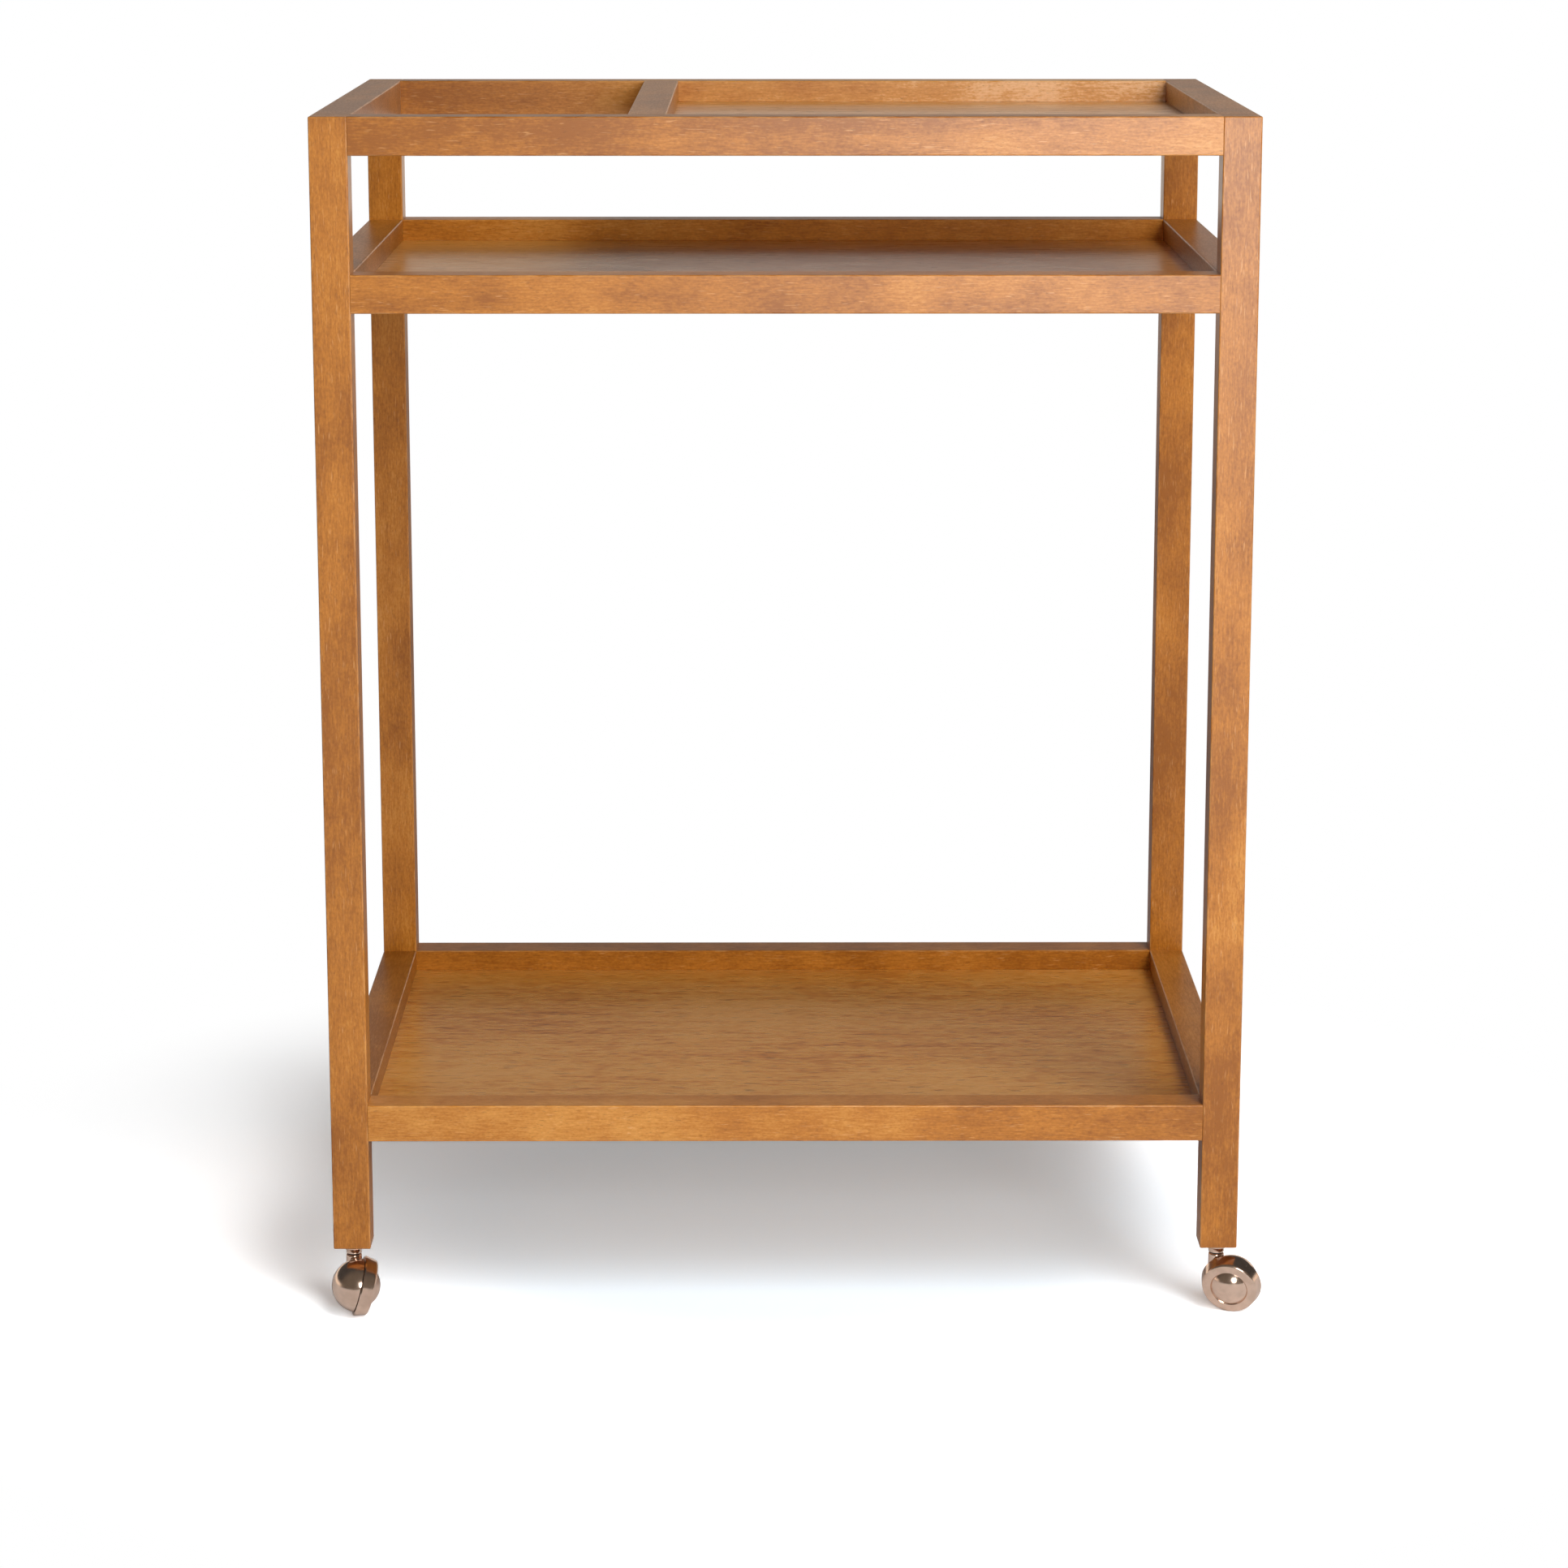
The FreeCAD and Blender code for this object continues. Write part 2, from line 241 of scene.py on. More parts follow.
@dataclass(frozen=True)
class StainedWood:
    """Fine-grained pale hardwood under a honey-brown stain and satin lacquer.

    The tone of a point is a sum of noises stretched along the fibres: broad bands, cross-grain
    curl, soft clouds, speckle and fine fibre. A ramp turns the tone into colour, whose pale end is partly
    painted glare. Short dark pores and light flecks lie on top, arrises are lighter, partly from wear and
    partly as a painted highlight, and end grain drinks more stain.
    A pair such as bands or pores gives features per metre, along and across the fibres. An edge gives
    the two noise values between which a mark comes in, and a stop the tone of one stain colour.
    """

    name: str
    deep: Colour
    body: Colour
    light: Colour
    pale: Colour
    pore: Colour
    worn: Colour
    sway: float = 4.0 * MILLIMETRE
    sways: Pair = (5.0, 14.0)
    bands: Pair = (3.2, 42.0)
    curl: Pair = (26.0, 38.0)
    clouds: Pair = (8.0, 14.0)
    fibre: Pair = (110.0, 850.0)
    speckle: Pair = (400.0, 700.0)
    pores: Pair = (260.0, 1500.0)
    flecks: Pair = (90.0, 900.0)
    patches: Pair = (60.0, 60.0)
    band_share: float = 0.45
    curl_share: float = 0.5
    cloud_share: float = 0.55
    fibre_share: float = 0.58
    speckle_share: float = 0.42
    pore_share: float = 0.36
    fleck_share: float = 0.4
    plain_detail: float = 1.0
    soft_detail: float = 2.0
    broken_detail: float = 3.0
    fibre_detail: float = 4.0
    pore_edge: Pair = (0.63, 0.74)
    fleck_edge: Pair = (0.64, 0.78)
    patch_edge: Pair = (0.35, 0.65)
    gloss_edge: Pair = (0.3, 0.7)
    deep_stop: float = 0.2
    body_stop: float = 0.5
    light_stop: float = 0.8
    pale_and_glare_stop: float = 1.0
    middle_tone: float = 0.5
    figure_step: Triple = (1.37, 0.71, 0.43)
    wear_and_highlight_width: float = 1.6 * MILLIMETRE
    wear_and_highlight_share: float = 0.45
    end_reach: float = 14.0 * MILLIMETRE
    end_share: float = 0.4
    smooth: float = 0.34
    rough: float = 0.44
    relief: float = 0.03 * MILLIMETRE
    refraction: float = 1.33
    lacquer: float = 0.7
    lacquer_roughness: float = 0.36

    def group(self) -> bpy.types.NodeTree:
        """Return the shared tree that works out colour, roughness and relief from a place in the wood.

        Returns:
            A group with inputs Place, Figure, Half, Tone and Drift, and outputs Colour, Roughness
            and Relief.
        """
        found = bpy.data.node_groups.get(self.name)
        if found:
            return found
        tree = bpy.data.node_groups.new(self.name, "ShaderNodeTree")
        for title in ("Place", "Figure", "Half"):
            tree.interface.new_socket(title, in_out="INPUT", socket_type="NodeSocketVector")
        for title in ("BoardToneAndLight", "PaintedLightDrift"):
            tree.interface.new_socket(title, in_out="INPUT", socket_type="NodeSocketFloat")
        tree.interface.new_socket("Colour", in_out="OUTPUT", socket_type="NodeSocketColor")
        for title in ("Roughness", "Relief"):
            tree.interface.new_socket(title, in_out="OUTPUT", socket_type="NodeSocketFloat")
        sheet = NodeSheet(tree)
        given = sheet.add("NodeGroupInput").outputs
        figure = sheet.vector("ADD", given["Place"], given["Figure"])
        straight = self.swayed(sheet, figure)
        fibre = self.layer(sheet, straight, self.fibre, self.fibre_detail)
        # The board's tone, partly painted light, plus painted light and shade that grows along the fibres.
        along = sheet.add("ShaderNodeSeparateXYZ", {0: given["Place"]}).outputs["X"]
        painted_light_drift = sheet.number("MULTIPLY", along, given["PaintedLightDrift"])
        board = sheet.number("ADD", given["BoardToneAndLight"], painted_light_drift)
        tone = sheet.number("ADD", self.tone(sheet, figure, straight, fibre), board)
        pores = sheet.ramp(self.layer(sheet, straight, self.pores, self.plain_detail), self.pore_edge)
        flecks = sheet.ramp(self.layer(sheet, straight, self.flecks, self.plain_detail), self.fleck_edge)
        colour = self.stain(sheet, tone)
        colour = sheet.blend(sheet.number("MULTIPLY", flecks, self.fleck_share), colour, opaque(self.worn))
        colour = sheet.blend(sheet.number("MULTIPLY", pores, self.pore_share), colour, opaque(self.pore))
        colour = self.aged(sheet, given["Place"], given["Half"], figure, colour)
        roughness = sheet.ramp(fibre, self.gloss_edge, self.rough, self.smooth)
        relief = sheet.number("SUBTRACT", fibre, pores)
        sheet.add("NodeGroupOutput", {"Colour": colour, "Roughness": roughness, "Relief": relief})
        return tree

    def swayed(self, sheet: NodeSheet, figure: Socket) -> Socket:
        """Shift a place across the fibres by a slow noise less its average, so that they wander.

        Args:
            sheet: Tree to write.
            figure: Place that drives the noise.

        Returns:
            Socket of the shifted place.
        """
        along, across = self.sways
        slow = sheet.noise(figure, (along, across, across), self.plain_detail).outputs[1]
        centred = sheet.vector("SUBTRACT", slow, (self.middle_tone,) * 3)
        shift = sheet.vector("MULTIPLY", centred, (0.0, self.sway, self.sway))
        return sheet.vector("ADD", figure, shift)

    @staticmethod
    def layer(sheet: NodeSheet, place: Socket, pace: Pair, detail: float) -> Socket:
        """Return a noise stretched along the fibres.

        Args:
            sheet: Tree to write.
            place: Place in the wood.
            pace: Features per metre along and across the fibres.
            detail: Number of finer octaves.

        Returns:
            Socket of the noise, about a half on average.
        """
        along, across = pace
        return sheet.noise(place, (along, across, across), detail).outputs[0]

    def tone(self, sheet: NodeSheet, figure: Socket, straight: Socket, fibre: Socket) -> Socket:
        """Add up the tone: a half, plus each layer's distance from a half times its share.

        Args:
            sheet: Tree to write.
            figure: Place in the wood.
            straight: Place shifted across the fibres.
            fibre: Noise of the fine fibre.

        Returns:
            Socket of the tone.
        """
        layers = (
            (self.layer(sheet, straight, self.bands, self.broken_detail), self.band_share),
            (self.layer(sheet, figure, self.curl, self.soft_detail), self.curl_share),
            (self.layer(sheet, figure, self.clouds, self.soft_detail), self.cloud_share),
            (self.layer(sheet, straight, self.speckle, self.soft_detail), self.speckle_share),
            (fibre, self.fibre_share),
        )
        tone: Any = self.middle_tone
        for noise, share in layers:
            offset = sheet.number("SUBTRACT", noise, self.middle_tone)
            tone = sheet.number("ADD", tone, sheet.number("MULTIPLY", offset, share))
        return tone

    def stain(self, sheet: NodeSheet, tone: Socket) -> Socket:
        """Turn the tone into the stain's colour, from deep through body and light to pale; the pale end is
        partly the palest grain and partly painted glare and sheen.

        Args:
            sheet: Tree to write.
            tone: Socket of the tone.

        Returns:
            Socket of the colour.
        """
        node = sheet.add("ShaderNodeValToRGB", {0: tone})
        stops = node.color_ramp.elements
        stops[0].position = self.deep_stop
        stops[0].color = opaque(self.deep)
        stops[1].position = self.light_stop
        stops[1].color = opaque(self.light)
        stops.new(self.body_stop).color = opaque(self.body)
        # The pale end: partly the palest grain, partly painted glare and sheen on the highest-toned pieces.
        stops.new(self.pale_and_glare_stop).color = opaque(self.pale)
        return node.outputs[0]

    def aged(self, sheet: NodeSheet, place: Socket, half: Socket, figure: Socket, colour: Socket) -> Socket:
        """Lighten arrises, partly as wear and partly as a painted highlight, and darken end grain.

        A point's distance inside each pair of faces is the half size less the place's size. The
        middle one of the three distances is near nothing only along an arris.

        Args:
            sheet: Tree to write.
            place: Place measured from the piece's middle.
            half: Half sizes of the piece.
            figure: Place that drives the noise.
            colour: Colour so far.

        Returns:
            The changed colour.
        """
        reach = sheet.add("ShaderNodeVectorMath", {0: place}, operation="ABSOLUTE").outputs[0]
        depth = sheet.vector("SUBTRACT", half, reach)
        along, first, second = sheet.add("ShaderNodeSeparateXYZ", {0: depth}).outputs
        outer = sheet.number("MAXIMUM", along, first)
        inner = sheet.number("MINIMUM", along, first)
        middle = sheet.number("MAXIMUM", inner, sheet.number("MINIMUM", outer, second))
        patches = sheet.ramp(self.layer(sheet, figure, self.patches, self.broken_detail), self.patch_edge)
        # Arrises lightened towards the worn colour: partly wear, partly a painted highlight along the
        # edges.
        arris = sheet.ramp(middle, (0.0, self.wear_and_highlight_width), self.wear_and_highlight_share, 0.0)
        colour = sheet.blend(sheet.number("MULTIPLY", arris, patches), colour, opaque(self.worn))
        ends = sheet.ramp(along, (0.0, self.end_reach), self.end_share, 0.0)
        return sheet.blend(sheet.number("MULTIPLY", ends, patches), colour, opaque(self.deep))

    def material(
        self, piece: str, fibre: Fibre, place: int, hidden_ends: bool, tone: float, painted_light_drift: float
    ) -> bpy.types.Material:
        """Make one piece's material, with its own part of the figure.

        Args:
            piece: Name of the solid.
            fibre: Way its fibres run.
            place: Number of the piece, which picks its part of the figure.
            hidden_ends: Whether its ends are inside other pieces. Its half length is then doubled,
            so that no end looks worn and highlighted or dark.
            tone: How much lighter its board is than the rest, partly the board's own tone and partly
                painted light and shade.
            painted_light_drift: Painted light and shade along the piece: how much lighter it grows per
                metre along the fibres.

        Returns:
            The material.
        """
        low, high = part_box(piece)
        along, first, second = fibre.ordered(tuple((high - low) / 2.0))
        if hidden_ends:
            along = 2.0 * along
        material, sheet, output = new_material(f"{self.name}_{piece}")
        point = sheet.add("ShaderNodeTexCoord").outputs["Object"]
        settings = {"Vector": point, "Location": (low + high) / 2.0, "Rotation": fibre.value}
        centred = sheet.add("ShaderNodeMapping", settings, vector_type="TEXTURE").outputs[0]
        wood = sheet.add("ShaderNodeGroup", node_tree=self.group())
        sheet.tree.links.new(centred, wood.inputs["Place"])
        wood.inputs["Figure"].default_value = tuple(step * place for step in self.figure_step)
        wood.inputs["Half"].default_value = (along, first, second)
        # The board's tone here is partly painted light, and the next input is painted light and shade along
        # the fibres.
        wood.inputs["BoardToneAndLight"].default_value = tone
        wood.inputs["PaintedLightDrift"].default_value = painted_light_drift
        shader = sheet.add("ShaderNodeBsdfPrincipled", {
            "Base Color": wood.outputs["Colour"],
            "Roughness": wood.outputs["Roughness"],
            "Normal": sheet.relief(wood.outputs["Relief"], self.relief),
            "IOR": self.refraction,
            "Coat Weight": self.lacquer,
            "Coat Roughness": self.lacquer_roughness,
        })
        sheet.show(output, shader.outputs[0])
        return material


@dataclass(frozen=True)
class PlatedMetal:
    """Plated or drawn metal with faint haze, fine scratches and a slight ripple."""

    name: str
    bright: Colour
    dull: Colour
    smooth: float
    rough: float
    haze: Triple = (160.0, 160.0, 160.0)
    haze_detail: float = 3.0
    haze_edge: Pair = (0.3, 0.7)
    scratches: Triple = (260.0, 2600.0, 260.0)
    scratch_detail: float = 2.0
    worn_edge: Pair = (0.35, 0.65)
    ripple: float = 0.004 * MILLIMETRE

    def material(self) -> bpy.types.Material:
        """Make the metal: haze mixes two tints, and the mean of haze and scratches sets the roughness.

        Returns:
            The material.
        """
        material, sheet, output = new_material(self.name)
        point = sheet.add("ShaderNodeTexCoord").outputs["Object"]
        haze = sheet.noise(point, self.haze, self.haze_detail).outputs[0]
        scratch = sheet.noise(point, self.scratches, self.scratch_detail).outputs[0]
        worn = sheet.number("MULTIPLY", sheet.number("ADD", haze, scratch), 0.5)
        hazy = sheet.ramp(haze, self.haze_edge)
        shader = sheet.add("ShaderNodeBsdfPrincipled", {
            "Base Color": sheet.blend(hazy, opaque(self.bright), opaque(self.dull)),
            "Metallic": 1.0,
            "Roughness": sheet.ramp(worn, self.worn_edge, self.smooth, self.rough),
            "Normal": sheet.relief(scratch, self.ripple),
        })
        sheet.show(output, shader.outputs[0])
        return material


@dataclass(frozen=True)
class MouldedPlastic:
    """Dark moulded plastic with a fine grain and dusty high spots."""

    name: str
    dark: Colour
    dusty: Colour
    grain: Triple = (3000.0, 3000.0, 3000.0)
    grain_detail: float = 2.0
    dust: Triple = (400.0, 400.0, 400.0)
    dust_detail: float = 3.0
    dust_edge: Pair = (0.4, 0.75)
    roughness: float = 0.55
    relief: float = 0.02 * MILLIMETRE

    def material(self) -> bpy.types.Material:
        """Make the plastic: dust lightens the dark colour, and the grain is its relief.

        Returns:
            The material.
        """
        material, sheet, output = new_material(self.name)
        point = sheet.add("ShaderNodeTexCoord").outputs["Object"]
        grain = sheet.noise(point, self.grain, self.grain_detail).outputs[0]
        dust = sheet.noise(point, self.dust, self.dust_detail).outputs[0]
        dusted = sheet.ramp(dust, self.dust_edge)
        shader = sheet.add("ShaderNodeBsdfPrincipled", {
            "Base Color": sheet.blend(dusted, opaque(self.dark), opaque(self.dusty)),
            "Roughness": self.roughness,
            "Normal": sheet.relief(grain, self.relief),
        })
        sheet.show(output, shader.outputs[0])
        return material


FRAME_STAIN = StainedWood(
    name="stained_bar",
    deep=linear(145, 84, 21),
    body=linear(181, 113, 37),
    light=linear(206, 142, 64),
    # Pale: partly the palest grain, partly painted glare where the top rear rail grows lighter to the
    # right.
    pale=linear(228, 176, 122),
    pore=linear(98, 54, 16),
    # Worn: lightens flecks, and arrises partly as wear and partly as a painted highlight.
    worn=linear(218, 164, 104),
)
PANEL_STAIN = StainedWood(
    name="stained_veneer",
    deep=linear(153, 88, 22),
    body=linear(192, 118, 37),
    light=linear(210, 146, 62),
    # Pale: partly the palest grain, partly painted sheen over most of the tray panel.
    pale=linear(214, 152, 74),
    pore=linear(104, 60, 18),
    # Worn: lightens flecks, and arrises partly as wear and partly as a painted highlight.
    worn=linear(214, 156, 92),
    bands=(2.2, 60.0),
    curl=(12.0, 9.0),
    clouds=(4.0, 7.0),
    fibre=(40.0, 240.0),
    speckle=(110.0, 300.0),
    pores=(55.0, 330.0),
    flecks=(40.0, 280.0),
    band_share=0.6,
    curl_share=0.3,
    cloud_share=0.9,
    fibre_share=1.4,
    speckle_share=1.1,
    pore_share=0.6,
    fleck_share=0.6,
    smooth=0.26,
    rough=0.34,
    lacquer=0.8,
    lacquer_roughness=0.32,
)
NICKEL = PlatedMetal(
    name="polished_nickel",
    bright=linear(240, 210, 190),
    dull=linear(226, 196, 176),
    smooth=0.14,
    rough=0.21,
)
STEEL = PlatedMetal(
    name="drawn_steel",
    bright=linear(198, 198, 198),
    dull=linear(178, 178, 180),
    smooth=0.2,
    rough=0.32,
)
WASHER = MouldedPlastic(
    name="dark_washer",
    dark=linear(28, 26, 25),
    dusty=linear(60, 56, 52),
)


@dataclass
class WoodFrame:
    """The glued frame: four legs, twelve rails and the divider, with three loose panels in grooves.

    Each piece's board_tones_and_painted_light entry says how much lighter or darker it is than the rest:
    partly its board's own tone and partly painted light and shade, fitted to how lit each bar looks, so the
    tray panel's high tone is painted sheen and the top rear rail's is painted glare. Each
    painted_light_drifts entry is painted light and
    shade along the fibres: how much lighter a bar grows per metre along them, darker where the value is
    below nothing, following how light falls on it.
    """

    tiers: tuple[str, ...] = ("top", "middle", "lower")
    panels: tuple[str, ...] = ("top_tray_panel", "middle_panel", "lower_panel")
    # Partly each board's own tone, partly painted light and shade fitted to how lit each bar looks: the
    # tray panel's high tone is painted sheen, the top rear rail's painted glare.
    board_tones_and_painted_light: dict[str, float] = field(default_factory=lambda: {
        "front_left_leg": -0.08,
        "front_right_leg": -0.14,
        "rear_left_leg": -0.06,
        "rear_right_leg": -0.18,
        "top_front_rail": -0.15,
        "top_rear_rail": 0.2,
        "top_left_rail": -0.14,
        "top_right_rail": -0.1,
        "middle_front_rail": -0.09,
        "middle_rear_rail": 0.04,
        "middle_left_rail": -0.2,
        "middle_right_rail": -0.26,
        "lower_front_rail": 0.02,
        "lower_rear_rail": -0.14,
        "lower_left_rail": -0.24,
        "lower_right_rail": -0.14,
        "top_tray_panel": 0.6,
        "middle_panel": 0.4,
        "lower_panel": 0.28,
    })
    # Painted light and shade per metre along a bar: the top rails grow lighter towards the right, where
    # more light falls, the top rear rail's right half as painted glare; the lower front rail grows darker
    # to the right.
    painted_light_drifts: dict[str, float] = field(default_factory=lambda: {
        "top_front_rail": 0.56,
        "top_rear_rail": 1.1,
        "lower_front_rail": -0.4,
    })

    def pieces(self) -> list[tuple[str, Fibre, StainedWood, bool]]:
        """List the wooden pieces in the order that picks their figure.

        Returns:
            Each piece's name, the way of its fibres, its stain and whether its ends are hidden.
        """
        found = [(f"{corner}_leg", Fibre.ALONG_Z, FRAME_STAIN, False) for corner in CORNERS]
        for tier in self.tiers:
            for side in ("front", "rear"):
                found.append((f"{tier}_{side}_rail", Fibre.ALONG_X, FRAME_STAIN, True))
            for side in ("left", "right"):
                found.append((f"{tier}_{side}_rail", Fibre.ALONG_Y, FRAME_STAIN, True))
        found.append(("top_divider", Fibre.ALONG_Y, FRAME_STAIN, True))
        found += [(panel, Fibre.ALONG_X, PANEL_STAIN, True) for panel in self.panels]
        return found

    def dress(self) -> None:
        """Stain every wooden piece, each with its own part of the figure."""
        for place, (piece, fibre, stain, hidden_ends) in enumerate(self.pieces(), start=1):
            tone = self.board_tones_and_painted_light.get(piece, 0.0)
            painted_light_drift = self.painted_light_drifts.get(piece, 0.0)
            dress(piece, stain.material(piece, fibre, place, hidden_ends, tone, painted_light_drift))


@dataclass
class BallCasters:
    """The four ball casters, plated outside, with steel pins and a dark washer."""

    plated: tuple[str, ...] = ("socket", "hood", "wheel", "wheel_cap")
    pins: tuple[str, ...] = ("stem", "grip_ring", "axle")

    def dress(self) -> None:
        """Give every caster piece its metal or plastic."""
        nickel = NICKEL.material()
        steel = STEEL.material()
        washer = WASHER.material()
        for corner in CORNERS:
            for part in self.plated:
                dress(f"{corner}_{part}", nickel)
            for part in self.pins:
                dress(f"{corner}_{part}", steel)
            dress(f"{corner}_swivel_washer", washer)


class Lit(Enum):
    """Things that a lamp lights."""

    ALL = "everything"
    GLEAMING = "bars and casters that show the key lamp"
    REST = "everything else"
    TRAY = "the tray panel"


@dataclass(frozen=True)
class SoftLamp:
    """A soft box: a glowing rectangle that faces a target, out of the camera's sight.

    One that is not mirrored lights the surfaces but shows in none of them.
    """

    name: str
    place: Triple
    target: Triple
    size: Pair
    power: float
    mirrored: bool = False
    lights: Lit = Lit.ALL

    def light(self, groups: dict[Lit, bpy.types.Collection]) -> None:
        """Add the lamp to the scene.

        Args:
            groups: The things for each lamp that lights only some.
        """
        lamp = bpy.data.lights.new(self.name, "AREA")
        lamp.shape = "RECTANGLE"
        lamp.size, lamp.size_y = self.size
        lamp.energy = self.power
        holder = bpy.data.objects.new(self.name, lamp)
        holder.visible_camera = False
        holder.visible_glossy = self.mirrored
        if self.lights in groups:
            holder.light_linking.receiver_collection = groups[self.lights]
        bpy.context.scene.collection.objects.link(holder)
        across, forward, upward = np.array(self.target) - np.array(self.place)
        holder.location = self.place
        tilt = math.atan2(math.hypot(across, forward), -upward)
        holder.rotation_euler = (tilt, 0.0, math.atan2(-across, forward))
        log.info("lamp: %s", self.name)


# The key shows in the gleaming bars and the casters only, so that shelves seen from behind keep their
# colour. Its twin in the same place lights everything else.
KEY = SoftLamp(
    name="key",
    place=(0.5, -2.6, 0.94),
    target=(0.2, 0.0, 0.6),
    size=(0.7, 0.8),
    power=27.0,
    mirrored=True,
    lights=Lit.GLEAMING,
)
LAMPS = (
    KEY,
    replace(KEY, name="key_rest", mirrored=False, lights=Lit.REST),
    SoftLamp(
        name="key_side",
        place=(1.2, -2.6, 0.94),
        target=(0.2, 0.0, 0.6),
        size=(0.5, 0.8),
        power=13.5,
    ),
    SoftLamp(
        name="front_fill",
        place=(1.5, -2.5, 2.0),
        target=(0.2, 0.0, 0.4),
        size=(1.2, 1.2),
        power=27.0,
    ),
    SoftLamp(
        name="high_front",
        place=(2.0, -3.2, 5.2),
        target=(0.0, 0.0, 0.2),
        size=(2.6, 2.6),
        power=160.0,
    ),
    SoftLamp(
        name="right_fill",
        place=(2.6, 1.8, 0.16),
        target=(0.0, 0.0, 0.3),
        size=(1.2, 0.28),
        power=18.0,
    ),
    SoftLamp(
        name="left_fill",
        place=(-2.6, 1.8, 0.16),
        target=(0.0, 0.0, 0.3),
        size=(1.2, 0.28),
        power=12.0,
    ),
    SoftLamp(
        name="tray_sheen",
        place=(0.3, 1.9, 1.6),
        target=(0.1, 0.0, 0.86),
        size=(1.4, 0.5),
        power=1.35,
        mirrored=True,
        lights=Lit.TRAY,
    ),
)


GLEAMING_BARS = (
    "front_left_leg",
    "front_right_leg",
    "top_front_rail",
    "middle_front_rail",
    "lower_front_rail",
    "top_rear_rail",
)


def light_groups(floor: bpy.types.Object) -> dict[Lit, bpy.types.Collection]:
    """Sort things for the lamps that light only some of them.

    Args:
        floor: The floor, which goes with the rest.

    Returns:
        The gleaming bars with all caster pieces, the rest, and the tray panel by itself.
    """
    groups = {lit: bpy.data.collections.new(lit.value) for lit in Lit if lit is not Lit.ALL}
    wood = {piece for piece, *_ in WoodFrame().pieces()}
    for name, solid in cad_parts.items():
        gleams = name in GLEAMING_BARS or name not in wood
        groups[Lit.GLEAMING if gleams else Lit.REST].objects.link(solid)
    groups[Lit.REST].objects.link(floor)
    groups[Lit.TRAY].objects.link(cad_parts["top_tray_panel"])
    return groups


@dataclass
class Floor:
    """A pale paper floor that is white where it is lit and grey in the trolley's shadow.

    Rays that light the trolley meet the plain colour. Rays that are seen meet the seen colour, or the
    under colour near the middle, where light off the wood would tint the shadow, and a faint glow.
    Towards the far span they meet plain white. Mirrored rays get a small share of that, and the
    floor behind the trolley is dimmed for them. Distances are in metres from the trolley's middle.
    """

    reach: float = 7.0
    steps: int = 33
    colour: Colour = (0.6, 0.6, 0.6)
    seen_colour: Colour = (1.81, 1.85, 1.88)
    under_colour: Colour = (0.96, 1.13, 1.27)
    under: Pair = (0.22, 0.46)
    far: Pair = (0.4, 0.76)
    glow: float = 0.2
    mirror_share: float = 0.1
    behind: Pair = (0.3, 1.2)
    behind_dim: float = 0.85
    paper: Triple = (90.0, 90.0, 90.0)
    paper_detail: float = 3.0
    paper_edge: Pair = (0.3, 0.7)
    paper_share: float = 0.02

    def build(self) -> bpy.types.Object:
        """Lay the floor: a level square grid, x and y spread evenly over the reach, z nothing.

        Returns:
            The floor.
        """
        steps = np.linspace(-self.reach, self.reach, self.steps)
        x, y = np.meshgrid(steps, steps, indexing="ij")
        points = np.stack([x, y, np.zeros_like(x)], axis=-1).reshape(-1, 3)
        number = np.arange(self.steps ** 2).reshape(self.steps, self.steps)
        faces = np.stack([number[:-1, :-1], number[1:, :-1], number[1:, 1:], number[:-1, 1:]], axis=-1)
        mesh = bpy.data.meshes.new("floor")
        mesh.from_pydata(points.tolist(), [], faces.reshape(-1, 4).tolist())
        floor = bpy.data.objects.new("floor", mesh)
        bpy.context.scene.collection.objects.link(floor)
        mesh.materials.append(self.material())
        log.info("floor: %d faces", len(mesh.polygons))
        return floor

    def material(self) -> bpy.types.Material:
        """Make the paper: a matt colour and a glow, mixed into plain white by distance.

        Returns:
            The material.
        """
        material, sheet, output = new_material("pale_floor")
        point = sheet.add("ShaderNodeTexCoord").outputs["Object"]
        distance = sheet.add("ShaderNodeVectorMath", {0: point}, operation="LENGTH").outputs["Value"]
        path = sheet.add("ShaderNodeLightPath").outputs
        straight = sheet.number("MAXIMUM", path["Is Camera Ray"], path["Is Transmission Ray"])
        mirrored = sheet.number("MULTIPLY", path["Is Glossy Ray"], self.mirror_share)
        seen = sheet.number("MAXIMUM", straight, mirrored)
        tint = self.tint(sheet, point, distance, seen)
        matt = sheet.add("ShaderNodeBsdfDiffuse", {"Color": tint}).outputs[0]
        strength = sheet.number("MULTIPLY", seen, self.glow)
        glow = sheet.add("ShaderNodeEmission", {"Strength": strength}).outputs[0]
        lit = sheet.add("ShaderNodeAddShader", {0: matt, 1: glow}).outputs[0]
        white = sheet.add("ShaderNodeEmission", {"Strength": 1.0}).outputs[0]
        away = sheet.number("MULTIPLY", sheet.ramp(distance, self.far), seen)
        sheet.show(output, sheet.add("ShaderNodeMixShader", {0: away, 1: lit, 2: white}).outputs[0])
        return material

    def tint(self, sheet: NodeSheet, point: Socket, distance: Socket, seen: Socket) -> Socket:
        """Return the matt colour that each kind of ray meets.

        Args:
            sheet: Tree to write.
            point: Place on the floor.
            distance: Distance from the trolley's middle.
            seen: 1 for rays that are seen, a small share for mirrored ones.

        Returns:
            Socket of the colour.
        """
        shown = sheet.blend(
            sheet.ramp(distance, self.under), opaque(self.under_colour), opaque(self.seen_colour)
        )
        tint = sheet.blend(seen, opaque(self.colour), shown)
        paper = sheet.noise(point, self.paper, self.paper_detail).outputs[0]
        tint = sheet.blend(sheet.ramp(paper, self.paper_edge, 0.0, self.paper_share), tint, opaque(WHITE))
        rearward = sheet.add("ShaderNodeSeparateXYZ", {0: point}).outputs["Y"]
        mirrored = sheet.add("ShaderNodeLightPath").outputs["Is Glossy Ray"]
        dim = sheet.number("MULTIPLY", sheet.ramp(rearward, self.behind, 0.0, self.behind_dim), mirrored)
        return sheet.blend(dim, tint, opaque(BLACK))


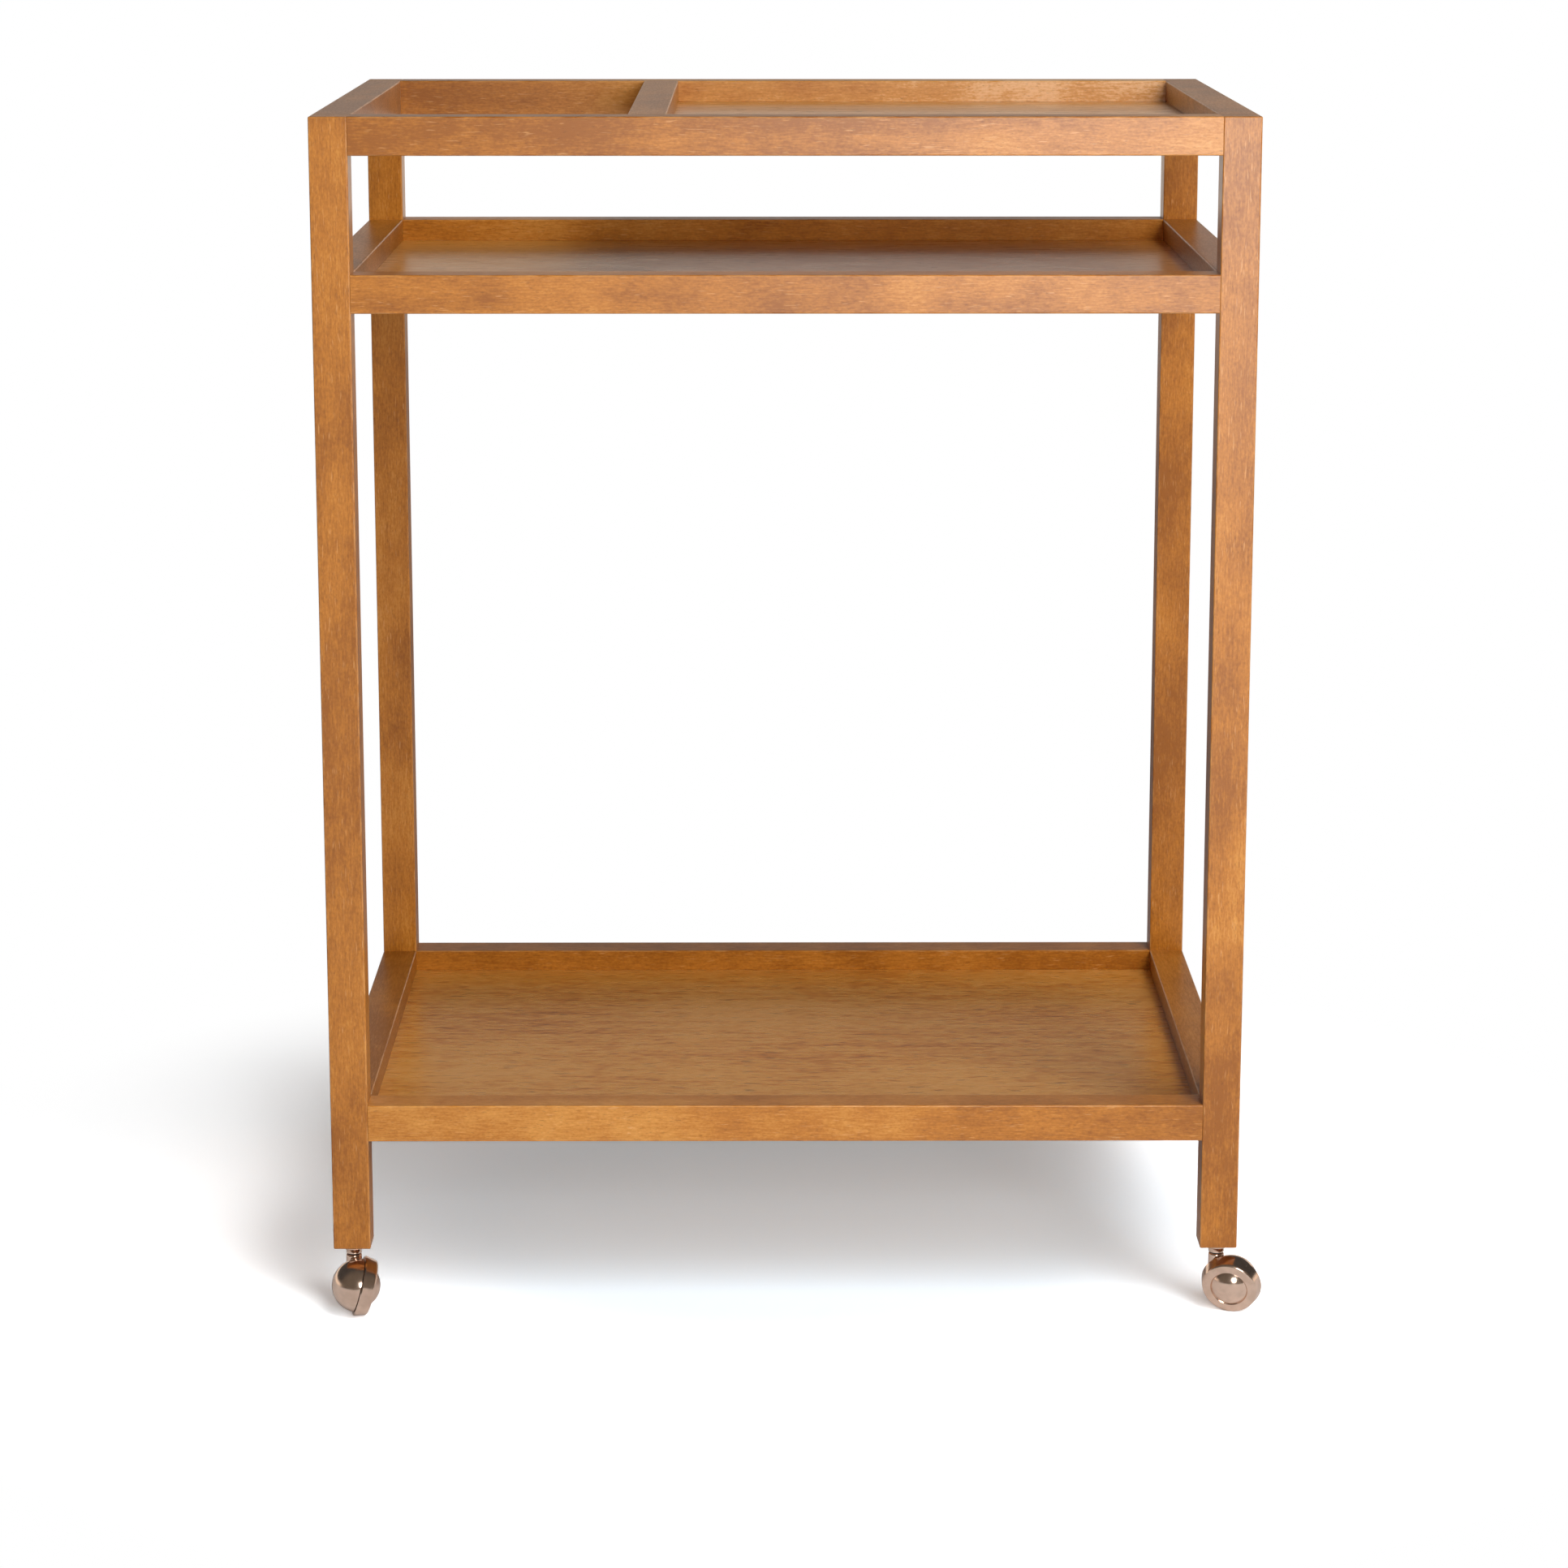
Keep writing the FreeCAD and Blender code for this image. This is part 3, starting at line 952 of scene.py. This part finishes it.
@dataclass
class Backdrop:
    """The world: grey light all round, brighter from the rear, that is seen as plain white.

    Mirrored rays meet a pale wall low in the rear, a dark sky over it and a dim room in front. Each
    span gives the two values of a direction's forward or upward share between which one gives way.
    """

    ambient: float = 0.12
    rear_ambient: float = 0.5
    rear_forward: Pair = (0.35, 0.8)
    rear_upward: Pair = (0.75, 0.3)
    wall: Colour = (1.05, 0.95, 0.84)
    sky: Colour = (0.06, 0.06, 0.06)
    room: Colour = (0.14, 0.125, 0.105)
    sky_upward: Pair = (0.115, 0.225)
    room_forward: Pair = (0.1, -0.45)

    def build(self) -> None:
        """Set the world: the seen colours for rays that are seen, the grey light for the rest."""
        world = bpy.data.worlds.new("studio")
        bpy.context.scene.world = world
        world.use_nodes = True
        sheet = NodeSheet(world.node_tree)
        output = sheet.add("ShaderNodeOutputWorld")
        way = sheet.add("ShaderNodeTexCoord").outputs["Generated"]
        _, forward, upward = sheet.add("ShaderNodeSeparateXYZ", {0: way}).outputs
        path = sheet.add("ShaderNodeLightPath").outputs
        rear = sheet.blend(sheet.ramp(upward, self.sky_upward), opaque(self.wall), opaque(self.sky))
        around = sheet.blend(sheet.ramp(forward, self.room_forward), rear, opaque(self.room))
        colour = sheet.blend(path["Is Glossy Ray"], opaque(WHITE), around)
        shown = sheet.add("ShaderNodeBackground", {"Color": colour, "Strength": 1.0}).outputs[0]
        rear_share = sheet.number(
            "MULTIPLY", sheet.ramp(forward, self.rear_forward), sheet.ramp(upward, self.rear_upward)
        )
        level = sheet.ramp(rear_share, (0.0, 1.0), self.ambient, self.rear_ambient)
        grey = sheet.add("ShaderNodeBackground", {"Strength": level}).outputs[0]
        straight = sheet.number("MAXIMUM", path["Is Camera Ray"], path["Is Transmission Ray"])
        seen = sheet.number("MAXIMUM", straight, path["Is Glossy Ray"])
        sheet.show(output, sheet.add("ShaderNodeMixShader", {0: seen, 1: grey, 2: shown}).outputs[0])
        log.info("backdrop: %s", world.name)


@dataclass
class PhotoCamera:
    """The camera, in front of the trolley and a little above its top.

    Angles are in degrees, the focal length and the picture's width in the photo's pixels, the sensor
    in millimetres, and the rise is a share of the picture.
    """

    place: Triple = (-0.01205, -3.12702, 1.06036)
    pitch: float = 11.787
    turn: float = 0.219
    focal_pixels: float = 5131.876
    picture_width: float = 1932.0
    sensor: float = 36.0
    rise: float = -0.05
    sight: float = 100.0

    def build(self) -> None:
        """Add the camera and make it the scene's own."""
        lens = bpy.data.cameras.new("camera")
        lens.sensor_fit = "HORIZONTAL"
        lens.sensor_width = self.sensor
        lens.lens = self.focal_pixels / self.picture_width * self.sensor
        lens.shift_y = self.rise
        lens.clip_end = self.sight
        camera = bpy.data.objects.new("camera", lens)
        bpy.context.scene.collection.objects.link(camera)
        camera.location = self.place
        camera.rotation_euler = (math.pi / 2.0 - math.radians(self.pitch), 0.0, -math.radians(self.turn))
        bpy.context.scene.camera = camera
        log.info("camera: %.1f mm", lens.lens)


def main() -> None:
    """Dress the trolley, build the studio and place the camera."""
    logging.basicConfig(level=logging.INFO, format="%(message)s")
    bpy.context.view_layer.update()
    WoodFrame().dress()
    BallCasters().dress()
    groups = light_groups(Floor().build())
    for lamp in LAMPS:
        lamp.light(groups)
    Backdrop().build()
    PhotoCamera().build()
    bpy.context.scene.view_settings.view_transform = "Standard"


if __name__ == "__main__":
    main()
